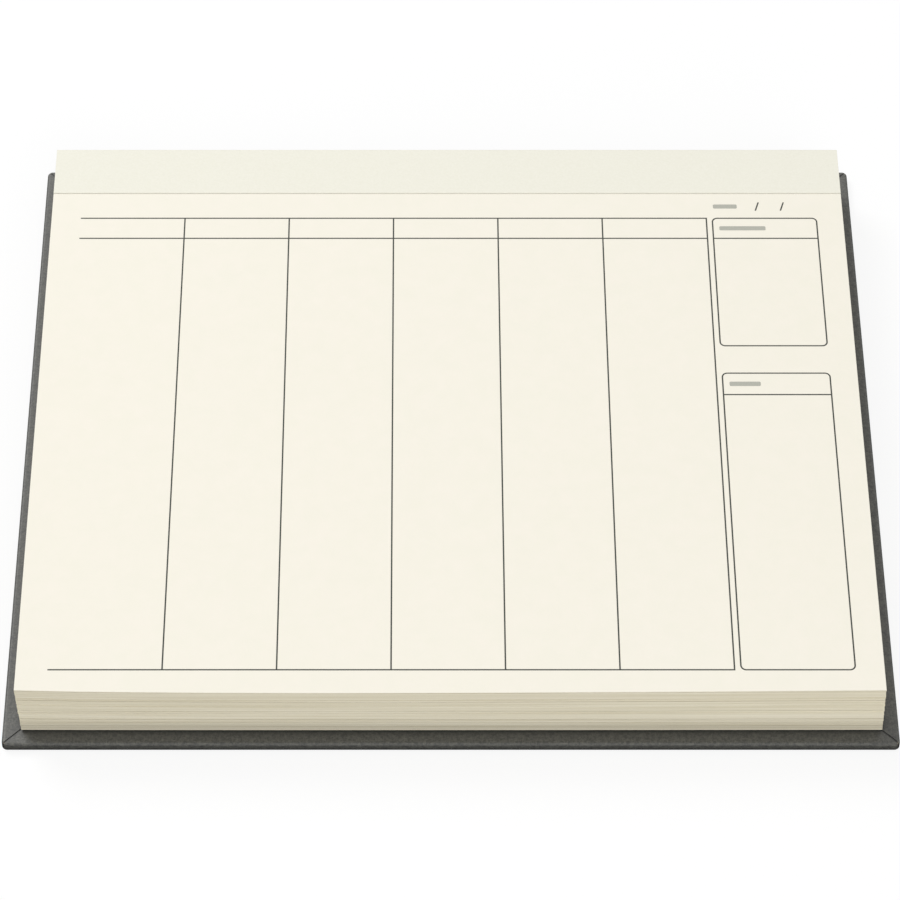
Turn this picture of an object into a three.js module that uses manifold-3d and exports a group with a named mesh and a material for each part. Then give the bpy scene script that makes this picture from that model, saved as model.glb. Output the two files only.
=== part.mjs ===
// Weekly planner pad: a block of tear-off sheets on a cloth-covered board.
// Millimetres, +Z up. The origin is the middle of the board's underside.
// +X runs to the right of the page and +Y towards its head, where the sheets are held.

import * as THREE from 'three';
import { mergeVertices } from 'three/addons/utils/BufferGeometryUtils.js';
import Module from 'manifold-3d';

const wasm = await Module();
wasm.setup();

// Sheets
const pageWidth = 279;
const tearSheetDepth = 215.9;
const stubDepth = 20.4;
const pagesThickness = 21.4;
const frontBowAtTop = 1.1;
const frontBowAtFoot = 0.1;
const frontBowSkew = 0.7;
const frontBowSteps = 14;
const padLean = 0.65;

// Gaps that show between the sheets on the three trimmed sides
const gapCount = 9;
const gapSpreadShare = 0.3;
const gapHeight = 0.22;
const gapDepth = 0.3;
const gapDepthSpreadShare = 0.4;

// Card under the sheets, strip over their head up to a lap past the tear line, and the glue between pieces
const cardThickness = 1.2;
const cardLipHeight = 0.5;
const cardLipReach = 0.8;
const stripThickness = 0.25;
const stripLap = 0.5;
const stripFoldRadius = 0.45;
const stripFootClearance = 0.3;
const glueLine = 0.02;

// Covered board
const sideOverhang = 5.9;
const frontOverhang = 5.5;
const headOverhang = 10.55;
const coreThickness = 2.6;
const clothThickness = 0.3;
const boardCornerRadius = 1.8;
const boardEdgeRounding = 0.45;
const turnInWidth = 18;
const mitreSeamWidth = 0.25;
const mitreSeamFromCorner = 0.75;

// Printed ruling, measured on the sheet that tears off
const inkThickness = 0.03;
const ruleWidth = 0.48;
const columnCount = 6;
const leftMargin = 10.3;
const rightMargin = 9.4;
const topMargin = 12.4;
const footMargin = 8.05;
const headerRowDepth = 9.5;
const sideBoxWidth = 36.7;
const sideBoxGap = 2.1;
const sideBoxCornerRadius = 1.75;
const upperBoxDepth = 59;
const boxSpacing = 12.25;

// Plain bars that stand where a heading would be printed, and the two date strokes
const barDepth = 1.9;
const dateBarLength = 8.4;
const dateBarInset = 0.5;
const upperBarLength = 16.2;
const lowerBarLength = 10.6;
const headingInset = 2.3;
const dateLineAboveTable = 5.6;
const strokeLength = 3.9;
const strokeWidth = 0.5;
const strokeSlant = 1.2;
const firstStrokeInset = 16;
const strokeSpacing = 8.85;

// Places that follow from the sizes above
const boardThickness = coreThickness + 2 * (clothThickness + glueLine);
const blockDepth = tearSheetDepth + stubDepth;
const stripWrap = stripThickness + glueLine;
const boardWidth = pageWidth + 2 * sideOverhang;
const boardDepth = frontOverhang + blockDepth + stripWrap + headOverhang;
const padFootZ = boardThickness + glueLine;
const padHeight = cardThickness + glueLine + pagesThickness;
const pageLeftX = -pageWidth / 2;
const pageFrontY = -boardDepth / 2 + frontOverhang;
const tearLineY = pageFrontY + tearSheetDepth;
const stripFrontY = tearLineY - stripLap;
const headY = pageFrontY + blockDepth;

// Colours as the eye meets them
const finishes = {
  bookCloth: new THREE.MeshStandardMaterial({ color: '#55554f', roughness: 0.85, metalness: 0 }),
  greyBoard: new THREE.MeshStandardMaterial({ color: '#8d8678', roughness: 0.95, metalness: 0 }),
  backingCard: new THREE.MeshStandardMaterial({ color: '#cfc9b4', roughness: 0.9, metalness: 0 }),
  creamPaper: new THREE.MeshStandardMaterial({ color: '#f6f2e4', roughness: 0.8, metalness: 0 }),
  stripPaper: new THREE.MeshStandardMaterial({ color: '#eeece0', roughness: 0.85, metalness: 0 }),
  greyInk: new THREE.MeshStandardMaterial({ color: '#4b4d49', roughness: 0.7, metalness: 0 }),
  paleInk: new THREE.MeshStandardMaterial({ color: '#8b8c84', roughness: 0.7, metalness: 0 }),
};

const product = new THREE.Group();
const pad = new THREE.Group();
pad.position.z = padFootZ;
product.add(pad);

function addPiece(group, name, geometry, finish) {
  const mesh = new THREE.Mesh(geometry, finish);
  mesh.name = name;
  group.add(mesh);
}

// Solids for joining and cutting
function toSolid(geometry) {
  const bare = geometry.clone();
  bare.deleteAttribute('normal');
  bare.deleteAttribute('uv');
  const merged = mergeVertices(bare, 1e-5);
  return new wasm.Manifold(new wasm.Mesh({
    numProp: 3,
    vertProperties: new Float32Array(merged.attributes.position.array),
    triVerts: new Uint32Array(merged.index.array),
  }));
}

function toGeometry(solid) {
  const mesh = solid.getMesh();
  const geometry = new THREE.BufferGeometry();
  geometry.setAttribute('position', new THREE.BufferAttribute(mesh.vertProperties, 3));
  geometry.setIndex(new THREE.BufferAttribute(mesh.triVerts, 1));
  return geometry;
}

// Outline of a rectangle whose four corners may each be rounded, counter-clockwise from front left
function roundedRectangle(path, left, front, right, back, frontRadius, backRadius = frontRadius) {
  path.moveTo(left + frontRadius, front);
  path.lineTo(right - frontRadius, front);
  if (frontRadius > 0) path.absarc(right - frontRadius, front + frontRadius, frontRadius, -Math.PI / 2, 0);
  path.lineTo(right, back - backRadius);
  if (backRadius > 0) path.absarc(right - backRadius, back - backRadius, backRadius, 0, Math.PI / 2);
  path.lineTo(left + backRadius, back);
  if (backRadius > 0) path.absarc(left + backRadius, back - backRadius, backRadius, Math.PI / 2, Math.PI);
  path.lineTo(left, front + frontRadius);
  if (frontRadius > 0) path.absarc(left + frontRadius, front + frontRadius, frontRadius, Math.PI, 1.5 * Math.PI);
  return path;
}

function plate(shape, bottomZ, thickness) {
  const geometry = new THREE.ExtrudeGeometry(shape, { depth: thickness, bevelEnabled: false, curveSegments: 6 });
  return geometry.translate(0, 0, bottomZ);
}

// Covered board: a grey board with one sheet of book cloth folded round its four edges

function boardOutline(inset) {
  const halfWidth = boardWidth / 2 - inset;
  const halfDepth = boardDepth / 2 - inset;
  const radius = Math.max(boardCornerRadius - inset, 0.2);
  return roundedRectangle(new THREE.Shape(), -halfWidth, -halfDepth, halfWidth, halfDepth, radius);
}

function makeBoardCore() {
  return plate(boardOutline(clothThickness + glueLine), clothThickness + glueLine, coreThickness);
}

function makeCoverWrap() {
  const rounding = Math.min(boardEdgeRounding, boardThickness / 2 - 0.1);
  const outer = new THREE.ExtrudeGeometry(boardOutline(0), {
    depth: boardThickness - 2 * rounding,
    bevelEnabled: true,
    bevelThickness: rounding,
    bevelSize: rounding,
    bevelOffset: -rounding,
    bevelSegments: 3,
    curveSegments: 6,
  }).translate(0, 0, rounding);
  const room = plate(boardOutline(clothThickness), clothThickness, boardThickness - 2 * clothThickness);
  const openLeft = -boardWidth / 2 + turnInWidth;
  const openFront = -boardDepth / 2 + turnInWidth;
  const opening = roundedRectangle(new THREE.Shape(), openLeft, openFront, -openLeft, -openFront, 0);
  const window = plate(opening, boardThickness - 2 * clothThickness, 3 * clothThickness);
  let wrap = toSolid(outer).subtract(toSolid(room)).subtract(toSolid(window));
  for (const sideX of [-1, 1]) {
    for (const sideY of [-1, 1]) {
      wrap = wrap.subtract(toSolid(makeMitreCut(sideX, sideY)));
    }
  }
  return toGeometry(wrap);
}

// Slit at 45 degrees where two turned-in edges meet, from near the board's corner to the opening's
function makeMitreCut(sideX, sideY) {
  const across = mitreSeamWidth * Math.SQRT1_2;
  const outX = boardWidth / 2 - mitreSeamFromCorner;
  const outY = boardDepth / 2 - mitreSeamFromCorner;
  const inX = boardWidth / 2 - turnInWidth - clothThickness;
  const inY = boardDepth / 2 - turnInWidth - clothThickness;
  const slit = new THREE.Shape();
  slit.moveTo(sideX * outX, sideY * (outY - across));
  slit.lineTo(sideX * outX, sideY * outY);
  slit.lineTo(sideX * (outX - across), sideY * outY);
  slit.lineTo(sideX * (inX - across), sideY * inY);
  slit.lineTo(sideX * inX, sideY * (inY - across));
  return plate(slit, boardThickness - 1.5 * clothThickness, 3 * clothThickness);
}

addPiece(product, 'board_core', makeBoardCore(), finishes.greyBoard);
addPiece(product, 'cover_wrap', makeCoverWrap(), finishes.bookCloth);

// Pad: everything below is in the pad's own height, from the foot of its card

// The pad stands a little off square, so each layer is shifted sideways with its height
function leanOver(geometry) {
  const slope = -padLean / padHeight;
  const lean = new THREE.Matrix4().makeShear(0, 0, 0, 0, slope, 0);
  return geometry.applyMatrix4(lean.setPosition(padLean / 2, 0, 0));
}

// Trimmed outline of a layer: straight head and sides, and a front edge that bows out, most left of its middle
function sheetOutline(height, inset) {
  const bow = THREE.MathUtils.lerp(frontBowAtFoot, frontBowAtTop, height / padHeight);
  const left = pageLeftX + inset;
  const right = -pageLeftX - inset;
  const outline = [new THREE.Vector2(left, headY)];
  for (let step = 0; step <= frontBowSteps; step++) {
    const across = step / frontBowSteps;
    const bulge = bow * Math.sin(Math.PI * across ** frontBowSkew);
    outline.push(new THREE.Vector2(THREE.MathUtils.lerp(left, right, across), pageFrontY + inset - bulge));
  }
  outline.push(new THREE.Vector2(right, headY));
  return outline;
}

// Solid through a stack of outlines with equal numbers of points, closed by a face at each end
function loftLayers(layers) {
  const corners = layers[0].outline.length;
  const positions = layers.flatMap(({ height, outline }) => outline.flatMap((point) => [point.x, point.y, height]));
  const faces = [];
  for (let layer = 0; layer < layers.length - 1; layer++) {
    for (let corner = 0; corner < corners; corner++) {
      const next = (corner + 1) % corners;
      const low = layer * corners;
      const high = low + corners;
      faces.push(low + corner, low + next, high + next, low + corner, high + next, high + corner);
    }
  }
  const lastLayer = (layers.length - 1) * corners;
  for (const [a, b, c] of THREE.ShapeUtils.triangulateShape(layers[0].outline, [])) {
    faces.push(c, b, a);
  }
  for (const [a, b, c] of THREE.ShapeUtils.triangulateShape(layers.at(-1).outline, [])) {
    faces.push(lastLayer + a, lastLayer + b, lastLayer + c);
  }
  const geometry = new THREE.BufferGeometry();
  geometry.setAttribute('position', new THREE.Float32BufferAttribute(positions, 3));
  geometry.setIndex(faces);
  return geometry;
}

function layerAt(height, inset = 0) {
  return { height, outline: sheetOutline(height, inset) };
}

// The card is glued down up to a little way from its edges, where a lip stands clear of the board
function makeBackingCard() {
  const lipHeight = Math.min(cardLipHeight, cardThickness / 2);
  const underside = [layerAt(0, cardLipReach), layerAt(lipHeight, cardLipReach)];
  return leanOver(loftLayers([...underside, layerAt(lipHeight), layerAt(cardThickness)]));
}

// The wider gaps between sheets run round the front and both sides as shallow grooves
function makePageBlock() {
  const footHeight = cardThickness + glueLine;
  const pitch = pagesThickness / gapCount;
  const layers = [layerAt(footHeight)];
  for (let gap = 0; gap < gapCount; gap++) {
    const drift = gapSpreadShare * Math.sin(2.4 * gap + 0.7);
    const middle = footHeight + pitch * (gap + 0.5 + drift);
    const depth = gapDepth * (1 + gapDepthSpreadShare * Math.cos(3.1 * gap));
    layers.push(layerAt(middle - gapHeight / 2), layerAt(middle, depth), layerAt(middle + gapHeight / 2));
  }
  layers.push(layerAt(padHeight));
  return leanOver(loftLayers(layers));
}

// Paper strip over the stubs, folded down the head of the block
function makeBindingStrip() {
  const insideY = headY + glueLine;
  const outsideY = insideY + stripThickness;
  const insideZ = padHeight + glueLine;
  const outsideZ = insideZ + stripThickness;
  const fold = Math.max(stripFoldRadius, stripThickness + 0.05);
  const section = new THREE.Shape();
  section.moveTo(stripFrontY, insideZ);
  section.lineTo(insideY, insideZ);
  section.lineTo(insideY, stripFootClearance);
  section.lineTo(outsideY, stripFootClearance);
  section.lineTo(outsideY, outsideZ - fold);
  section.absarc(outsideY - fold, outsideZ - fold, fold, 0, Math.PI / 2);
  section.lineTo(stripFrontY, outsideZ);
  const geometry = new THREE.ExtrudeGeometry(section, { depth: pageWidth, bevelEnabled: false, curveSegments: 5 });
  geometry.rotateY(Math.PI / 2).rotateX(Math.PI / 2);
  return leanOver(geometry.translate(pageLeftX, 0, 0));
}

addPiece(pad, 'backing_card', makeBackingCard(), finishes.backingCard);
addPiece(pad, 'page_block', makePageBlock(), finishes.creamPaper);
addPiece(pad, 'binding_strip', makeBindingStrip(), finishes.stripPaper);

// Printed ruling on the top sheet, which lies half the lean to the left

const tableLeft = pageLeftX + leftMargin;
const boxRight = -pageLeftX - rightMargin;
const boxLeft = boxRight - sideBoxWidth;
const tableRight = boxLeft - sideBoxGap;
const columnPitch = (tableRight - tableLeft) / columnCount;
const tableTop = tearLineY - topMargin;
const tableFoot = pageFrontY + footMargin;
const dateLineY = tableTop + dateLineAboveTable;
const upperBoxFoot = tableTop - upperBoxDepth;
const lowerBoxTop = upperBoxFoot - boxSpacing;

function printShape(shape) {
  return plate(shape, padHeight, inkThickness).translate(-padLean / 2, 0, 0);
}

// Opening between rules, given by the middle lines of the rules round it, and deeper than the ink
function makeCell(left, front, right, back, frontRadius = 0, backRadius = 0) {
  const half = ruleWidth / 2;
  const opening = new THREE.Shape();
  roundedRectangle(opening, left + half, front + half, right - half, back - half, frontRadius, backRadius);
  return toSolid(plate(opening, padHeight - inkThickness, 3 * inkThickness).translate(-padLean / 2, 0, 0));
}

// The week's columns: the first one is open at its left, so the rules end there like the teeth of a comb
function makeWeekRuling() {
  const half = ruleWidth / 2;
  const headerY = tableTop - headerRowDepth;
  const firstX = tableLeft + columnPitch;
  const table = new THREE.Shape();
  table.moveTo(tableLeft, tableFoot - half);
  table.lineTo(tableRight + half, tableFoot - half);
  table.lineTo(tableRight + half, tableTop + half);
  table.lineTo(tableLeft, tableTop + half);
  for (const [upperY, lowerY] of [[tableTop, headerY], [headerY, tableFoot]]) {
    table.lineTo(tableLeft, upperY - half);
    table.lineTo(firstX - half, upperY - half);
    table.lineTo(firstX - half, lowerY + half);
    table.lineTo(tableLeft, lowerY + half);
  }
  let ruling = toSolid(printShape(table));
  for (let column = 1; column < columnCount; column++) {
    const left = tableLeft + column * columnPitch;
    ruling = ruling.subtract(makeCell(left, tableFoot, left + columnPitch, headerY));
    ruling = ruling.subtract(makeCell(left, headerY, left + columnPitch, tableTop));
  }
  return toGeometry(ruling);
}

// A round-cornered frame with a rule under its heading row
function makeBoxRuling(frontY, backY) {
  const half = ruleWidth / 2;
  const innerRadius = Math.max(sideBoxCornerRadius - half, 0.1);
  const headerY = backY - headerRowDepth;
  const frame = new THREE.Shape();
  roundedRectangle(frame, boxLeft - half, frontY - half, boxRight + half, backY + half, innerRadius + ruleWidth);
  const body = makeCell(boxLeft, frontY, boxRight, headerY, innerRadius, 0);
  const heading = makeCell(boxLeft, headerY, boxRight, backY, 0, innerRadius);
  return toGeometry(toSolid(printShape(frame)).subtract(body).subtract(heading));
}

function makeHeadingBar(leftX, middleY, length) {
  const half = barDepth / 2;
  const rounding = barDepth / 4;
  const outline = new THREE.Shape();
  roundedRectangle(outline, leftX, middleY - half, leftX + length, middleY + half, rounding);
  return printShape(outline);
}

function makeDateStroke(middleX) {
  const rise = strokeLength / 2;
  const slant = strokeSlant / 2;
  const half = strokeWidth / 2;
  const stroke = new THREE.Shape();
  stroke.moveTo(middleX - slant - half, dateLineY - rise);
  stroke.lineTo(middleX - slant + half, dateLineY - rise);
  stroke.lineTo(middleX + slant + half, dateLineY + rise);
  stroke.lineTo(middleX + slant - half, dateLineY + rise);
  return printShape(stroke);
}

const upperHeadingY = tableTop - headerRowDepth / 2;
const lowerHeadingY = lowerBoxTop - headerRowDepth / 2;
const firstStrokeX = boxLeft + firstStrokeInset;
const dateBar = makeHeadingBar(boxLeft + dateBarInset, dateLineY, dateBarLength);
const upperBar = makeHeadingBar(boxLeft + headingInset, upperHeadingY, upperBarLength);
const lowerBar = makeHeadingBar(boxLeft + headingInset, lowerHeadingY, lowerBarLength);

addPiece(pad, 'week_ruling', makeWeekRuling(), finishes.greyInk);
addPiece(pad, 'upper_box_ruling', makeBoxRuling(upperBoxFoot, tableTop), finishes.greyInk);
addPiece(pad, 'lower_box_ruling', makeBoxRuling(tableFoot, lowerBoxTop), finishes.greyInk);
addPiece(pad, 'date_stroke_1', makeDateStroke(firstStrokeX), finishes.greyInk);
addPiece(pad, 'date_stroke_2', makeDateStroke(firstStrokeX + strokeSpacing), finishes.greyInk);
addPiece(pad, 'date_bar', dateBar, finishes.paleInk);
addPiece(pad, 'upper_heading_bar', upperBar, finishes.paleInk);
addPiece(pad, 'lower_heading_bar', lowerBar, finishes.paleInk);

export default product;
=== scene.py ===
# %% [markdown]
# # A weekly planner pad
#
# The object is a pad of ruled, tear-off sheets on a board covered with dark grey book cloth. Its sizes
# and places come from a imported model, which is loaded first and never moved. Here we make what the eye
# meets: the cloth and how it is folded, the cut edges of two hundred sheets, the paper and the ink.
# The unit is the metre, so a small helper turns millimetres into metres.

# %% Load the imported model
import math
import random

import bmesh
import bpy
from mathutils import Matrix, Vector


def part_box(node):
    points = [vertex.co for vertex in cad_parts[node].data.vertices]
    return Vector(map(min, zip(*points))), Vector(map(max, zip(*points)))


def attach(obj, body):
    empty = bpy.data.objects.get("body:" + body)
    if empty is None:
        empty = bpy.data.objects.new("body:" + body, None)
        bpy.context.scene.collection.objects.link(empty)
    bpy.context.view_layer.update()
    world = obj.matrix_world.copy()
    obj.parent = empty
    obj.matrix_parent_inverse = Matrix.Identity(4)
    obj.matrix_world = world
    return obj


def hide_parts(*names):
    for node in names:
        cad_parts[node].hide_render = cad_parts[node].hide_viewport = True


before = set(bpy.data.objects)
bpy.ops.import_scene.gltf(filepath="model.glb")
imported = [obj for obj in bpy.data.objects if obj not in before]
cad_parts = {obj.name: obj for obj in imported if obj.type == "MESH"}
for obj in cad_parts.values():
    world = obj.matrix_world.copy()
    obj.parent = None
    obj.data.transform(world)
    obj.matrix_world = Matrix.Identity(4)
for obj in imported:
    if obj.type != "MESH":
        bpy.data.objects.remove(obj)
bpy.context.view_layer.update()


def mm(length):
    """Millimetres as metres."""
    return length / 1000


# %% [markdown]
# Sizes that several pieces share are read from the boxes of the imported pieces, so nothing is fitted by
# eye. The block of sheets leans a little to one side: its foot stands further right than its top.

# %% Read the sizes that the pieces share
wrap_low, wrap_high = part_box("cover_wrap")
card_low, card_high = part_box("backing_card")
block_low, block_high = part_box("page_block")
strip_low, strip_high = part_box("binding_strip")

board_half_width = (wrap_high[0] - wrap_low[0]) / 2
board_half_depth = (wrap_high[1] - wrap_low[1]) / 2
board_top = wrap_high[2]
page_top = block_high[2]
pad_foot = card_low[2]
page_width = mm(279)
front_bow = mm(1.1)
front_bow_at_foot = mm(0.1)
front_bow_skew = 0.7
head_y = block_high[1]
page_front_y = block_low[1] + front_bow
block_depth = head_y - page_front_y
lean_slope = -(block_high[0] - block_low[0] - page_width) / (block_high[2] - block_low[2])
lean_middle = (pad_foot + page_top) / 2


def lean_at(height):
    """How far a layer at this height is shifted to the right."""
    return lean_slope * (height - lean_middle)


print("Block of sheets:", round(1000 * block_depth, 2), "mm deep")
print("Top of the page:", round(1000 * page_top, 2), "mm")
print("Lean from foot to top:", round(1000 * (lean_at(page_top) - lean_at(pad_foot)), 2), "mm")

# %% [markdown]
# ## The camera
#
# The page is seen from in front and above, a little from the left, with a long lens, so that its sides
# run nearly parallel. A camera that looks straight along the depth of the page keeps every printed rule
# level. The small sideways shift frames the pad without turning the camera.

# %% Set up the camera
camera_place = (mm(-10.26), mm(-836.06), mm(1036.3))
camera_slope_degrees = 51.15
sensor_mm = 36
lens_in_picture_widths = 4.296
picture_shift = 0.0343

camera_data = bpy.data.cameras.new("planner camera")
camera_data.sensor_width = sensor_mm
camera_data.lens = lens_in_picture_widths * sensor_mm
camera_data.shift_x = picture_shift
camera = bpy.data.objects.new("planner camera", camera_data)
bpy.context.scene.collection.objects.link(camera)
camera.location = camera_place
camera.rotation_euler = (math.radians(90 - camera_slope_degrees), 0, 0)
bpy.context.scene.camera = camera
print("Lens:", round(camera_data.lens, 1), "mm, looking", camera_slope_degrees, "degrees down")

# %% [markdown]
# ## Helpers for modelling by hand
#
# An edit-mode operator acts on all that is selected, so each step first selects exactly the faces or
# edges it wants, by where they lie or which way they face. A rounded rim is shaded smooth. Weighted
# normals then keep the large flat faces beside it flat, so that no soft gradient runs across them.


# %% Selecting and finishing helpers
def deselect_all():
    """Nothing is selected, in object mode."""
    if bpy.context.object and bpy.context.object.mode != "OBJECT":
        bpy.ops.object.mode_set(mode="OBJECT")
    bpy.ops.object.select_all(action="DESELECT")


def select_faces(piece, wanted):
    """Selects the faces of the piece in edit mode for which wanted(face) is true, and counts them."""
    bpy.ops.mesh.select_mode(type="FACE")
    bpy.ops.mesh.select_all(action="DESELECT")
    mesh = bmesh.from_edit_mesh(piece.data)
    for face in mesh.faces:
        face.select_set(bool(wanted(face)))
    bmesh.update_edit_mesh(piece.data)
    return sum(face.select for face in mesh.faces)


def select_edges(piece, wanted):
    """Selects the edges of the piece in edit mode for which wanted(edge) is true, and counts them."""
    bpy.ops.mesh.select_mode(type="EDGE")
    bpy.ops.mesh.select_all(action="DESELECT")
    mesh = bmesh.from_edit_mesh(piece.data)
    for edge in mesh.edges:
        edge.select_set(bool(wanted(edge)))
    bmesh.update_edit_mesh(piece.data)
    return sum(edge.select for edge in mesh.edges)


def add_block(name, low, high):
    """A primitive cube that fills the box from low to high, with its place in its mesh."""
    deselect_all()
    middle = [(a + b) / 2 for a, b in zip(low, high)]
    bpy.ops.mesh.primitive_cube_add(size=1, location=middle)
    piece = bpy.context.object
    piece.name = name
    piece.data.name = name
    piece.scale = [b - a for a, b in zip(low, high)]
    bpy.ops.object.transform_apply(location=True, rotation=True, scale=True)
    return piece


def apply_modifier(piece, kind, **settings):
    """Adds a modifier with these settings and applies it."""
    modifier = piece.modifiers.new(kind.lower(), kind)
    for key, value in settings.items():
        setattr(modifier, key, value)
    bpy.context.view_layer.objects.active = piece
    bpy.ops.object.modifier_apply(modifier=modifier.name)


def shade_rounded(piece, degrees=35):
    """Smooth shading over rounded rims, while each large flat face keeps its own flat shading."""
    deselect_all()
    piece.select_set(True)
    bpy.context.view_layer.objects.active = piece
    bpy.ops.object.shade_smooth_by_angle(angle=math.radians(degrees))
    apply_modifier(piece, "WEIGHTED_NORMAL", mode="FACE_AREA", keep_sharp=True)


def near(a, b, tolerance=1e-6):
    return abs(a - b) < tolerance


# %% [markdown]
# ## Book cloth folded round the board
#
# The cover of the board is one sheet of cloth. It is glued under the board, folded up round its four
# edges and turned in on top, where the corners are cut at 45 degrees so that two turned-in edges meet in
# a mitre. By hand it starts as a block of the board's size: the four upright corners and the rims are
# bevelled round, the field that the pad covers is cut out of the top, and Solidify gives the remaining
# skin the thickness of the cloth, inwards. The upper rim is the rounder one, because the cloth is drawn
# over it and doesn't follow the sharp edge of the board.

# %% Model the folded cloth
cloth_thickness = mm(0.3)
board_corner_radius = mm(1.8)
upper_rounding = mm(1)
lower_rounding = mm(0.5)
turn_in = mm(18)

cover = add_block("folded_cloth", wrap_low, wrap_high)
bpy.ops.object.mode_set(mode="EDIT")
select_edges(cover, lambda edge: not near(edge.verts[0].co.z, edge.verts[1].co.z))
bpy.ops.mesh.bevel(offset=board_corner_radius, segments=8, affect="EDGES")
for rim_height, rounding in ((board_top, upper_rounding), (0, lower_rounding)):
    select_edges(cover, lambda edge: all(near(vertex.co.z, rim_height) for vertex in edge.verts))
    bpy.ops.mesh.bevel(offset=rounding, segments=5, affect="EDGES")

window_half_width = board_half_width - turn_in
window_half_depth = board_half_depth - turn_in


def on_top(face):
    return face.normal.z > 0.99 and face.calc_center_median().z > board_top - mm(0.01)


for side in (-1, 1):
    select_faces(cover, on_top)
    bpy.ops.mesh.bisect(plane_co=(side * window_half_width, 0, 0), plane_no=(1, 0, 0))
    select_faces(cover, on_top)
    bpy.ops.mesh.bisect(plane_co=(0, side * window_half_depth, 0), plane_no=(0, 1, 0))


def in_window(face):
    centre = face.calc_center_median()
    return on_top(face) and abs(centre.x) < window_half_width and abs(centre.y) < window_half_depth


select_faces(cover, in_window)
bpy.ops.mesh.delete(type="FACE")
bpy.ops.object.mode_set(mode="OBJECT")
apply_modifier(cover, "SOLIDIFY", thickness=cloth_thickness, offset=-1, use_even_offset=True)
print("Folded cloth:", len(cover.data.polygons), "faces")

# %% [markdown]
# The mitre shows as a fine seam from each corner of the board to the corner of the pad, and it runs down
# over the rounded corner. Two parallel cuts at 45 degrees leave a narrow strip of faces, which is pushed
# in along its normals, so that the seam is a groove with cloth at its bottom, as where the cloth is
# tucked under before it is glued down.

# %% Press the mitre seams into the corners
seam_width = mm(0.42)
seam_depth = mm(0.24)
seam_inner_end = mm(14)
fine_edge = mm(0.05)
DIAGONAL = math.sqrt(0.5)


def from_mitre(point, side_x, side_y):
    """Distance of a point from the 45 degree plane through one corner of the board."""
    return ((board_half_width - side_x * point.x) - (board_half_depth - side_y * point.y)) * DIAGONAL


def in_corner(face, side_x, side_y):
    """Whether an outer face of the cloth lies at this corner, above the lower rim."""
    centre = face.calc_center_median()
    inside_x = board_half_width - side_x * centre.x
    inside_y = board_half_depth - side_y * centre.y
    if max(inside_x, inside_y) > turn_in:
        return False
    lies_outside = (face.normal.x * side_x > 0.3 and face.normal.y * side_y > 0.3
                    and centre.z > lower_rounding * 0.9)
    rounded_rim = face.normal.z > 0.1 and centre.z > board_top - upper_rounding
    skin = min(inside_x, inside_y) > -mm(0.01) and face.normal.z > -0.1
    upright_skin = lies_outside and face.normal.z < 0.1 and inside_x + inside_y < 2 * board_corner_radius
    return skin and (rounded_rim or upright_skin)


for side_x in (-1, 1):
    for side_y in (-1, 1):
        normal = Vector((side_x * DIAGONAL, -side_y * DIAGONAL, 0))
        corner = Vector((side_x * board_half_width, side_y * board_half_depth, 0))
        bpy.context.view_layer.objects.active = cover
        bpy.ops.object.mode_set(mode="EDIT")
        for offset in (-seam_width / 2, seam_width / 2):
            select_faces(cover, lambda face: in_corner(face, side_x, side_y))
            bpy.ops.mesh.bisect(plane_co=corner + normal * offset, plane_no=normal)
        along = Vector((side_x * DIAGONAL, side_y * DIAGONAL, 0))
        select_faces(cover, lambda face: on_top(face) and in_corner(face, side_x, side_y))
        bpy.ops.mesh.bisect(plane_co=corner - along * seam_inner_end, plane_no=along)

        def in_seam(face):
            centre = face.calc_center_median()
            close = abs(from_mitre(centre, side_x, side_y)) < seam_width * 0.4
            inner_end = (corner - centre).dot(along) > seam_inner_end
            return close and in_corner(face, side_x, side_y) and not inner_end

        count = select_faces(cover, in_seam)
        bpy.ops.mesh.extrude_region_shrink_fatten(
            TRANSFORM_OT_shrink_fatten={"value": -seam_depth, "use_even_offset": True})
        bpy.ops.object.mode_set(mode="OBJECT")
        print("Seam at", (side_x, side_y), "has", count, "faces")

apply_modifier(cover, "BEVEL", width=fine_edge, segments=2, limit_method="ANGLE",
               angle_limit=math.radians(50))
shade_rounded(cover)

# %% [markdown]
# ## Two hundred cut sheets
#
# The sheets were stacked, glued at the head and cut on the other three sides. The knife leaves them
# almost flush, but not quite: small groups stand a few hundredths of a millimetre back or are turned by
# a hair, and it is these that draw the fine lines along the edges of a pad. One sheet is modelled and
# copied for each layer. Each copy gets its own small offset and turn, and its own share of the bow that
# the knife left in the front edge, which is strongest at the top of the block.

# %% Model one sheet
sheet_count = 200
sheet_pitch = (block_high[2] - block_low[2]) / sheet_count
share_of_pitch = 0.94
sheet_thickness = share_of_pitch * sheet_pitch
bow_steps = 14
glued_back = mm(0.08)

sheet = add_block("sheet", (-page_width / 2, -block_depth, 0),
                  (page_width / 2, -glued_back, sheet_thickness))
bpy.ops.object.mode_set(mode="EDIT")
for step in range(1, bow_steps):
    bpy.ops.mesh.select_all(action="SELECT")
    bpy.ops.mesh.bisect(plane_co=(page_width * (step / bow_steps - 0.5), 0, 0), plane_no=(1, 0, 0))
bpy.ops.object.mode_set(mode="OBJECT")
print("One sheet:", len(sheet.data.polygons), "faces,", round(1000 * sheet_thickness, 3), "mm thick")

# %% [markdown]
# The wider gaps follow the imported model: there the grooves lie at the same heights. A sheet in such a
# gap stands back up to three tenths of a millimetre. Between the gaps, groups of sheets drift and turn
# together, and each sheet adds a little of its own. The top four are flush, which gives the page a
# clean edge.

# %% Stack the sheets
random.seed(4)
gap_count = 9
gap_spread = 0.3
gap_depth = mm(0.17)
gap_depth_varies = 0.4
smallest_group = 3
largest_group = 13
group_back_at_most = mm(0.05)
sheet_back_at_most = mm(0.02)
group_turn_at_most = 0.0004
sheet_turn_at_most = 0.00008
sideways_share = 0.8
flush_sheets = 4
sheets = []


def gap_share(index):
    """Where along the height of the stack a wider gap lies, from 0 at its foot to 1 at its top."""
    return (index + 0.5 + gap_spread * math.sin(2.4 * index + 0.7)) / gap_count


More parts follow.
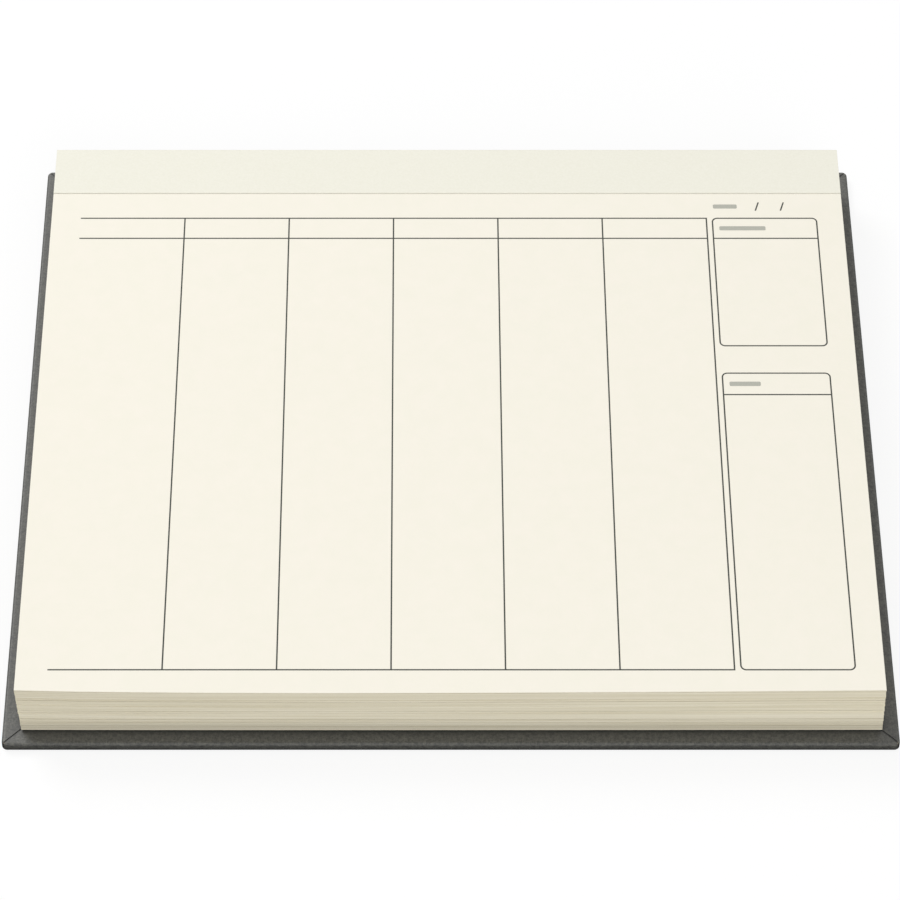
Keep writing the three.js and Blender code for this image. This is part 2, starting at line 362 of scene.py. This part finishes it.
gap_layers = {round(gap_share(index) * sheet_count): index for index in range(gap_count)}
group_back = 0.0
group_turn = 0.0
group_left = 0
for layer in range(sheet_count):
    if group_left == 0:
        group_left = random.randint(smallest_group, largest_group)
        group_back = random.uniform(0, group_back_at_most)
        group_turn = random.uniform(-group_turn_at_most, group_turn_at_most)
    group_left -= 1
    stands_back = group_back + random.uniform(0, sheet_back_at_most)
    turn = group_turn + random.uniform(-sheet_turn_at_most, sheet_turn_at_most)
    for near_layer in (layer, layer + 1):
        if near_layer in gap_layers:
            stands_back += gap_depth * (1 + gap_depth_varies * math.cos(3.1 * gap_layers[near_layer]))
            turn *= 2
    height = block_low[2] + layer * sheet_pitch
    rise = layer / (sheet_count - 1)
    if layer >= sheet_count - flush_sheets:
        stands_back = 0
        turn = 0
    if layer == sheet_count - 1:
        height = page_top - sheet_thickness
    copy = sheet.copy()
    copy.data = sheet.data.copy()
    bow = front_bow_at_foot + (front_bow - front_bow_at_foot) * rise
    for vertex in copy.data.vertices:
        if vertex.co.y < -block_depth / 2:
            across = min(max(vertex.co.x / page_width + 0.5, 0), 1)
            vertex.co.y -= bow * math.sin(math.pi * across ** front_bow_skew)
    copy.scale = (1 - 2 * stands_back / page_width, 1 - stands_back / block_depth, 1)
    copy.rotation_euler = (0, 0, turn)
    drift = random.uniform(-sideways_share, sideways_share) * stands_back
    copy.location = (lean_at(height + sheet_thickness / 2) + drift, head_y, height)
    bpy.context.scene.collection.objects.link(copy)
    sheets.append(copy)

deselect_all()
for copy in sheets:
    copy.select_set(True)
bpy.context.view_layer.objects.active = sheets[-1]
bpy.ops.object.transform_apply(location=True, rotation=True, scale=True)
bpy.ops.object.join()
leaves = bpy.context.object
leaves.name = "tear_off_sheets"
leaves.data.name = "tear_off_sheets"
bpy.data.objects.remove(sheet)
print("Stack:", len(leaves.data.polygons), "faces")

# %% [markdown]
# ## The strip over the head
#
# A strip of paper covers the stubs that stay behind when a sheet is torn off, and it is folded down the
# head of the block. It starts as a flat plane on the page. Its back edge is extruded down, the fold is
# rounded with a bevel, and Solidify gives the paper its thickness.

# %% Model the strip
strip_thickness = mm(0.25)
tear_line_y = strip_low[1]
strip_inside_y = strip_high[1] - strip_thickness
strip_inside_z = strip_high[2] - strip_thickness
strip_foot = strip_low[2]
fold_radius = mm(0.3)
strip_fine_edge = mm(0.04)

deselect_all()
bpy.ops.mesh.primitive_plane_add(size=1)
strip = bpy.context.object
strip.name = "head_strip"
strip.data.name = "head_strip"
strip.scale = (page_width, strip_inside_y - tear_line_y, 1)
strip.location = (lean_at(page_top), (strip_inside_y + tear_line_y) / 2, strip_inside_z)
bpy.ops.object.transform_apply(location=True, rotation=True, scale=True)
bpy.ops.object.mode_set(mode="EDIT")
select_edges(strip, lambda edge: all(near(vertex.co.y, strip_inside_y) for vertex in edge.verts))
drop = strip_foot - strip_inside_z
lean_over_drop = lean_at(strip_foot) - lean_at(page_top)
bpy.ops.mesh.extrude_region_move(TRANSFORM_OT_translate={"value": (lean_over_drop, 0, drop)})
select_edges(strip, lambda edge: all(near(vertex.co.y, strip_inside_y) for vertex in edge.verts)
             and len(edge.link_faces) == 2)
bpy.ops.mesh.bevel(offset=fold_radius, segments=6, affect="EDGES")
bpy.ops.object.mode_set(mode="OBJECT")
apply_modifier(strip, "SOLIDIFY", thickness=strip_thickness, offset=1, use_even_offset=True)
apply_modifier(strip, "BEVEL", width=strip_fine_edge, segments=2, limit_method="ANGLE",
               angle_limit=math.radians(60))
shade_rounded(strip)
print("Strip:", [round(1000 * size, 2) for size in strip.dimensions], "mm")

# %% [markdown]
# ## Helpers for materials
#
# Colours are written as they are seen, as sRGB hex values, and turned to linear light once. Patterns
# are sized from the real spacing of a fibre or thread in millimetres. Little light reaches a narrow gap,
# so one helper measures how much open space a surface sees within a few millimetres and paints shade
# into the colour where that is little. This painted shade draws the dark line at the foot of the pad,
# in the mitre seams and under the front edge of the strip.


# %% Colour, node and pattern helpers
def seen(hex_colour):
    """An sRGB hex colour as linear red, green, blue and alpha."""
    channels = [int(hex_colour[i:i + 2], 16) / 255 for i in (1, 3, 5)]
    linear = [c / 12.92 if c <= 0.04045 else ((c + 0.055) / 1.055) ** 2.4 for c in channels]
    return (*linear, 1)


def add_node(owner, kind, links=(), **settings):
    """Adds a node to a material or the world. A setting goes to the node or else to its socket."""
    node = owner.node_tree.nodes.new(kind)
    for key, value in settings.items():
        socket = key.replace("_", " ").title()
        if hasattr(node, key):
            setattr(node, key, value)
        else:
            node.inputs[socket].default_value = value
    for target, source in links:
        owner.node_tree.links.new(source, node.inputs[target])
    return node


def new_material(name):
    """An empty node material with its shader, and the shader."""
    material = bpy.data.materials.new(name)
    material.use_nodes = True
    shader = material.node_tree.nodes["Principled BSDF"]
    return material, shader


def spacing(millimetres):
    """Noise scale for features about this far apart, on coordinates in metres."""
    return 1000 / millimetres


def shade_crevices(material, colour, reach_mm, full_shade, no_shade, darkest):
    """The colour with painted shade: darker where a surface within this reach hides the sky, as in a
    narrow gap.
    """
    open_sky = add_node(material, "ShaderNodeAmbientOcclusion", samples=4, distance=mm(reach_mm))
    shade = add_node(material, "ShaderNodeMapRange", links=[("Value", open_sky.outputs["AO"])],
                     from_min=full_shade, from_max=no_shade, to_min=darkest, to_max=1)
    shaded = add_node(material, "ShaderNodeVectorMath", operation="MULTIPLY",
                      links=[(0, colour), (1, shade.outputs["Result"])])
    return shaded.outputs["Vector"]


def wear(piece, material):
    """Gives the piece this material and no other."""
    piece.data.materials.clear()
    piece.data.materials.append(material)


# %% [markdown]
# ## Book cloth
#
# Book cloth is woven cotton or rayon, dyed and pasted on paper. From a step away its threads merge into
# a fine, irregular mottle: two noises, one drawn out along the threads that run left to right and one
# along those that run front to back, give that look. Real threads, 0.4 mm apart, are at the limit of
# what shows, so they are drawn a little coarser. Beside the pad, shade is painted into the cloth's
# colour:
# a wide, soft painted shade, and a narrow, dark one where the two meet.

# %% Book cloth material
cloth, cloth_shader = new_material("book_cloth_dark_grey")
thread_mm = 0.55
thread_length_mm = 1.2
cloth_place = add_node(cloth, "ShaderNodeTexCoord").outputs["Object"]
cloth_threads = []
for stretch in ((thread_mm / thread_length_mm, 1, 1), (1, thread_mm / thread_length_mm, 1)):
    mapped = add_node(cloth, "ShaderNodeMapping", links=[("Vector", cloth_place)])
    mapped.inputs["Scale"].default_value = stretch
    threads = add_node(cloth, "ShaderNodeTexNoise", links=[("Vector", mapped.outputs["Vector"])],
                       scale=spacing(thread_mm), detail=3, roughness=0.6)
    cloth_threads.append(threads.outputs["Fac"])
cloth_weave = add_node(cloth, "ShaderNodeMath", operation="MAXIMUM",
                       links=[(0, cloth_threads[0]), (1, cloth_threads[1])])
cloth_cloud = add_node(cloth, "ShaderNodeTexNoise", links=[("Vector", cloth_place)],
                       scale=spacing(1.6), detail=4, roughness=0.65)
cloth_mottle = add_node(cloth, "ShaderNodeMix", data_type="FLOAT",
                        links=[(2, cloth_weave.outputs["Value"]), (3, cloth_cloud.outputs["Fac"])])
cloth_mottle.inputs[0].default_value = 0.4
cloth_colour = add_node(cloth, "ShaderNodeValToRGB", links=[("Fac", cloth_mottle.outputs[0])])
cloth_colour.color_ramp.elements[0].position = 0.44
cloth_colour.color_ramp.elements[0].color = seen("#3a3a38")
cloth_colour.color_ramp.elements[1].position = 0.66
cloth_colour.color_ramp.elements[1].color = seen("#61615b")
cloth_bump = add_node(cloth, "ShaderNodeBump", links=[("Height", cloth_weave.outputs["Value"])])
cloth_bump.inputs["Strength"].default_value = 0.4
cloth_bump.inputs["Distance"].default_value = mm(0.08)
# Painted shade: the cloth's colour is darkened beside the pad and is darkest where it meets the pad.
cloth_soft_shade = shade_crevices(cloth, cloth_colour.outputs["Color"],
                                  reach_mm=5, full_shade=0.5, no_shade=0.88, darkest=0.55)
cloth_shaded = shade_crevices(cloth, cloth_soft_shade,
                              reach_mm=2, full_shade=0.58, no_shade=0.84, darkest=0.1)
cloth.node_tree.links.new(cloth_shaded, cloth_shader.inputs["Base Color"])
cloth.node_tree.links.new(cloth_bump.outputs["Normal"], cloth_shader.inputs["Normal"])
cloth_shader.inputs["Roughness"].default_value = 0.56
cloth_shader.inputs["Specular IOR Level"].default_value = 0.78
wear(cover, cloth)

# %% [markdown]
# ## Cream paper
#
# The sheets are uncoated cream offset paper. Uncoated paper is matt and nearly even: the fibres lie in
# faint clouds, a percent lighter and darker, and the surface has a fine tooth. The cut edge is the same
# paper seen end on. It is darker and warmer in fine stripes that run along the edge, partly from dust
# and partly as painted shade of the gaps between the sheets. The lowest few millimetres are darker
# still, a painted shade where the board hides part of the light. Only the upper face of the top sheet is
# page, and every other face is cut edge.

# %% Paper materials
paper, paper_shader = new_material("cream_offset_paper")
paper_place = add_node(paper, "ShaderNodeTexCoord").outputs["Object"]
paper_cloud = add_node(paper, "ShaderNodeTexNoise", links=[("Vector", paper_place)],
                       scale=spacing(6), detail=5, roughness=0.6)
paper_colour = add_node(paper, "ShaderNodeValToRGB", links=[("Fac", paper_cloud.outputs["Fac"])])
paper_colour.color_ramp.elements[0].position = 0.35
paper_colour.color_ramp.elements[0].color = seen("#f7f3e5")
paper_colour.color_ramp.elements[1].position = 0.68
paper_colour.color_ramp.elements[1].color = seen("#f9f4e7")
paper_tooth = add_node(paper, "ShaderNodeTexNoise", links=[("Vector", paper_place)],
                       scale=spacing(0.5), detail=4, roughness=0.6)
paper_bump = add_node(paper, "ShaderNodeBump", links=[("Height", paper_tooth.outputs["Fac"])])
paper_bump.inputs["Strength"].default_value = 0.3
paper_bump.inputs["Distance"].default_value = mm(0.02)
# Painted shade on the page, under the front edge of the strip.
paper_shaded = shade_crevices(paper, paper_colour.outputs["Color"],
                              reach_mm=0.8, full_shade=0.7, no_shade=0.95, darkest=0.82)
paper.node_tree.links.new(paper_shaded, paper_shader.inputs["Base Color"])
paper.node_tree.links.new(paper_bump.outputs["Normal"], paper_shader.inputs["Normal"])
paper_shader.inputs["Roughness"].default_value = 0.85
paper_shader.inputs["Specular IOR Level"].default_value = 0.25

# Painted shade: the cut edge is darker towards its foot, where the board hides part of the light.
painted_foot_shade_height = mm(7.5)
foot_shade_share_of_colour = 0.68
edge, edge_shader = new_material("cut_edge_of_cream_paper")
edge_place = add_node(edge, "ShaderNodeTexCoord").outputs["Object"]
edge_stretched = add_node(edge, "ShaderNodeMapping", links=[("Vector", edge_place)])
edge_stretched.inputs["Scale"].default_value = (0.005, 0.005, 1)
# The stripes are partly dust and partly painted shade of the gaps between the sheets.
edge_stripes = add_node(edge, "ShaderNodeTexNoise", links=[("Vector", edge_stretched.outputs["Vector"])],
                        scale=spacing(0.7), detail=6, roughness=0.7)
edge_colour = add_node(edge, "ShaderNodeValToRGB", links=[("Fac", edge_stripes.outputs["Fac"])])
edge_colour.color_ramp.elements[0].position = 0.38
edge_colour.color_ramp.elements[0].color = seen("#e9e0c5")
edge_colour.color_ramp.elements[1].position = 0.6
edge_colour.color_ramp.elements[1].color = seen("#f9f2dc")
edge_height = add_node(edge, "ShaderNodeSeparateXYZ", links=[("Vector", edge_place)])
# Painted shade towards the foot of the cut edge.
edge_foot_shade = add_node(edge, "ShaderNodeMapRange", links=[("Value", edge_height.outputs["Z"])],
                     from_min=pad_foot, from_max=pad_foot + painted_foot_shade_height,
                     to_min=foot_shade_share_of_colour, to_max=1)
edge_with_foot_shade = add_node(edge, "ShaderNodeVectorMath", operation="MULTIPLY",
                       links=[(0, edge_colour.outputs["Color"]), (1, edge_foot_shade.outputs["Result"])])
# Painted shade on the cut edge, where the board and the gaps between the sheets come close.
edge_shaded = shade_crevices(edge, edge_with_foot_shade.outputs["Vector"],
                             reach_mm=9, full_shade=0.48, no_shade=0.8, darkest=0.84)
edge.node_tree.links.new(edge_shaded, edge_shader.inputs["Base Color"])
edge_shader.inputs["Roughness"].default_value = 0.9
edge_shader.inputs["Specular IOR Level"].default_value = 0.2

leaves.data.materials.clear()
leaves.data.materials.append(edge)
leaves.data.materials.append(paper)
for face in leaves.data.polygons:
    on_top_page = face.normal.z > 0.9 and face.center.z > page_top - sheet_pitch / 2
    face.material_index = 1 if on_top_page else 0
print("Page faces:", sum(face.material_index for face in leaves.data.polygons))

# %% [markdown]
# ## Strip paper
#
# The strip is a tougher, slightly greyer paper. It was pressed against a felt while it was wet, and the
# felt left a soft relief of a little under a millimetre, which the bump follows.

# %% Strip paper
strip_paper, strip_shader = new_material("felt_marked_strip_paper")
strip_place = add_node(strip_paper, "ShaderNodeTexCoord").outputs["Object"]
strip_felt = add_node(strip_paper, "ShaderNodeTexNoise", links=[("Vector", strip_place)],
                      scale=spacing(0.8), detail=4, roughness=0.6)
strip_colour = add_node(strip_paper, "ShaderNodeValToRGB", links=[("Fac", strip_felt.outputs["Fac"])])
strip_colour.color_ramp.elements[0].position = 0.35
strip_colour.color_ramp.elements[0].color = seen("#f0eee0")
strip_colour.color_ramp.elements[1].position = 0.65
strip_colour.color_ramp.elements[1].color = seen("#f3f1e4")
strip_bump = add_node(strip_paper, "ShaderNodeBump", links=[("Height", strip_felt.outputs["Fac"])])
strip_bump.inputs["Strength"].default_value = 0.35
strip_bump.inputs["Distance"].default_value = mm(0.06)
# Painted shade under the strip's front edge and in its fold, where the page comes close.
strip_shaded = shade_crevices(strip_paper, strip_colour.outputs["Color"],
                              reach_mm=0.8, full_shade=0.5, no_shade=0.9, darkest=0.72)
strip_paper.node_tree.links.new(strip_shaded, strip_shader.inputs["Base Color"])
strip_paper.node_tree.links.new(strip_bump.outputs["Normal"], strip_shader.inputs["Normal"])
strip_shader.inputs["Roughness"].default_value = 0.85
strip_shader.inputs["Specular IOR Level"].default_value = 0.25
wear(strip, strip_paper)

# %% [markdown]
# ## Card, grey board and ink
#
# The card under the sheets is unbleached, a shade darker than they are. The board under the cloth is
# grey board, pressed from waste paper, and is flecked. Printing ink on uncoated paper sinks in, so the
# rules are matt and slightly uneven. All four differ only in their colours, their roughness and the size
# of their flecks, so one function makes them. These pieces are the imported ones, with a material only.


# %% Flecked boards and ink
def flecked(name, low_colour, high_colour, fleck_mm, roughness):
    """A matt material whose colour drifts between two shades in flecks of this size."""
    material, shader = new_material(name)
    place = add_node(material, "ShaderNodeTexCoord").outputs["Object"]
    flecks = add_node(material, "ShaderNodeTexNoise", links=[("Vector", place)],
                      scale=spacing(fleck_mm), detail=5, roughness=0.7)
    colour = add_node(material, "ShaderNodeValToRGB", links=[("Fac", flecks.outputs["Fac"])])
    colour.color_ramp.elements[0].position = 0.35
    colour.color_ramp.elements[0].color = seen(low_colour)
    colour.color_ramp.elements[1].position = 0.65
    colour.color_ramp.elements[1].color = seen(high_colour)
    bump = add_node(material, "ShaderNodeBump", links=[("Height", flecks.outputs["Fac"])])
    bump.inputs["Strength"].default_value = 0.3
    bump.inputs["Distance"].default_value = mm(0.03)
    material.node_tree.links.new(colour.outputs["Color"], shader.inputs["Base Color"])
    material.node_tree.links.new(bump.outputs["Normal"], shader.inputs["Normal"])
    shader.inputs["Roughness"].default_value = roughness
    shader.inputs["Specular IOR Level"].default_value = 0.25
    return material


wear(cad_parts["board_core"], flecked("grey_board", "#7d776b", "#9a9384", 0.8, 0.95))
wear(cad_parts["backing_card"], flecked("unbleached_card", "#d9d2bb", "#e1dac4", 0.6, 0.9))

dark_ink = flecked("grey_offset_ink", "#424440", "#4e504b", 0.5, 0.75)
pale_ink = flecked("grey_offset_ink_in_a_tint", "#b2b2a8", "#bbbbb0", 0.5, 0.75)
for node in ("week_ruling", "upper_box_ruling", "lower_box_ruling", "date_stroke_1", "date_stroke_2"):
    wear(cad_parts[node], dark_ink)
for node in ("date_bar", "upper_heading_bar", "lower_heading_bar"):
    wear(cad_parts[node], pale_ink)

# %% [markdown]
# ## Pieces and bodies
#
# Each new piece stands for the imported solid of the same thing and rides on the one body of the pad.

# %% Tie the pieces to the imported model
for piece, node, slot in ((cover, "cover_wrap", "book_cloth"), (leaves, "page_block", "cream_paper"),
                          (strip, "binding_strip", "strip_paper")):
    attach(piece, "root")
    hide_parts(node)

# %% [markdown]
# ## Floor
#
# The floor is dull, so that it throws little light up at the edges of the pad. It looks white to the
# camera through a glow that only the camera sees, and it still takes the shadow of the pad. It lies a
# hair under the pad, so that no two faces coincide.

# %% Floor
deselect_all()
floor_width = 6
floor_gap = mm(0.05)
bpy.ops.mesh.primitive_plane_add(size=floor_width, location=(0, 0, -floor_gap))
floor = bpy.context.object
floor.name = "floor"

glow = 0.855
floor_paint, floor_shader = new_material("matt_grey_paint")
floor_shader.inputs["Base Color"].default_value = seen("#696969")
floor_shader.inputs["Roughness"].default_value = 0.9
floor_shader.inputs["Specular IOR Level"].default_value = 0.2
floor_paths = add_node(floor_paint, "ShaderNodeLightPath")
floor_glow = add_node(floor_paint, "ShaderNodeEmission",
                      links=[("Strength", floor_paths.outputs["Is Camera Ray"])])
floor_glow.inputs["Color"].default_value = (glow, glow, glow, 1)
floor_both = add_node(floor_paint, "ShaderNodeAddShader",
                      links=[(0, floor_shader.outputs["BSDF"]), (1, floor_glow.outputs["Emission"])])
floor_out = floor_paint.node_tree.nodes["Material Output"]
floor_paint.node_tree.links.new(floor_both.outputs["Shader"], floor_out.inputs["Surface"])
wear(floor, floor_paint)

# %% [markdown]
# ## Light
#
# There are two large, soft lamps. The window stands behind on the left and leaves the front and right
# edges of the board in the pad's own soft shade. The reflector stands in front on the right and opens
# up the cut edges of the sheets. It has no highlight in the cloth, as a matt card in a studio has
# hardly any. The world fills the rest, and is white to the camera and in reflections.

# %% Lamps and world
lamps = {
    "window": {"place": (-1.14, 1.26, 1.7), "width": 1.1, "watts": 31.4, "highlights": True},
    "reflector": {"place": (0.6, -1.9, 0.95), "width": 1.6, "watts": 27.5, "highlights": False},
}
for name, facts in lamps.items():
    lamp_data = bpy.data.lights.new(name, "AREA")
    lamp_data.shape = "SQUARE"
    lamp_data.size = facts["width"]
    lamp_data.energy = facts["watts"]
    lamp = bpy.data.objects.new(name, lamp_data)
    lamp.location = facts["place"]
    lamp.visible_glossy = facts["highlights"]
    lamp.rotation_euler = Vector(facts["place"]).to_track_quat("Z", "Y").to_euler()
    bpy.context.scene.collection.objects.link(lamp)
    print(name, "stands", round(Vector(facts["place"]).length, 2), "m away")

world = bpy.data.worlds.new("studio")
bpy.context.scene.world = world
world.use_nodes = True
world_light = world.node_tree.nodes["Background"]
world_light.inputs["Color"].default_value = (1, 1, 1, 1)
world_light.inputs["Strength"].default_value = 0.42
world_seen = add_node(world, "ShaderNodeBackground", strength=1)
world_seen.inputs["Color"].default_value = (1, 1, 1, 1)
world_paths = add_node(world, "ShaderNodeLightPath")
world_white = add_node(world, "ShaderNodeMath", operation="MAXIMUM",
                       links=[(0, world_paths.outputs["Is Camera Ray"]),
                              (1, world_paths.outputs["Is Glossy Ray"])])
world_mix = add_node(world, "ShaderNodeMixShader",
                     links=[(0, world_white.outputs["Value"]), (1, world_light.outputs["Background"]),
                            (2, world_seen.outputs["Background"])])
world_out = world.node_tree.nodes["World Output"]
world.node_tree.links.new(world_mix.outputs["Shader"], world_out.inputs["Surface"])
bpy.context.scene.view_settings.view_transform = "Standard"
